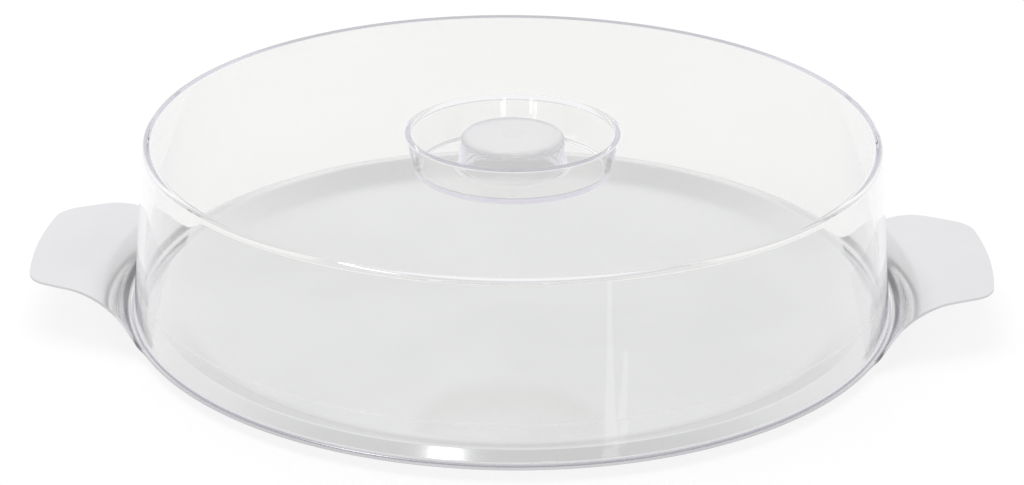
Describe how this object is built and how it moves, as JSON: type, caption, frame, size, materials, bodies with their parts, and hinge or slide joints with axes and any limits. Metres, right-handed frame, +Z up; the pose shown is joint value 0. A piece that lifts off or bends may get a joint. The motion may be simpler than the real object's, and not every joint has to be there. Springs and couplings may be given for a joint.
{
  "type": "cake plate with lid",
  "caption": "Round pressed steel cake plate with a raised ridge and two handle tabs, and a clear moulded lid that lifts off by a sunk finger well and knob.",
  "frame": {"origin": "centre of the plate's flat underside, on the surface that the plate stands on", "axes": "+Z up along the axis of the plate and the lid, +X along the line through the handle tabs"},
  "size_m": [0.3956, 0.3174, 0.0764],
  "materials": {
    "sheet_steel": "bright polished stainless sheet",
    "clear_plastic": "clear, glossy, moulded"
  },
  "bodies": {
    "root": {"plate": "sheet_steel", "lid": "clear_plastic"}
  },
  "joints": []
}
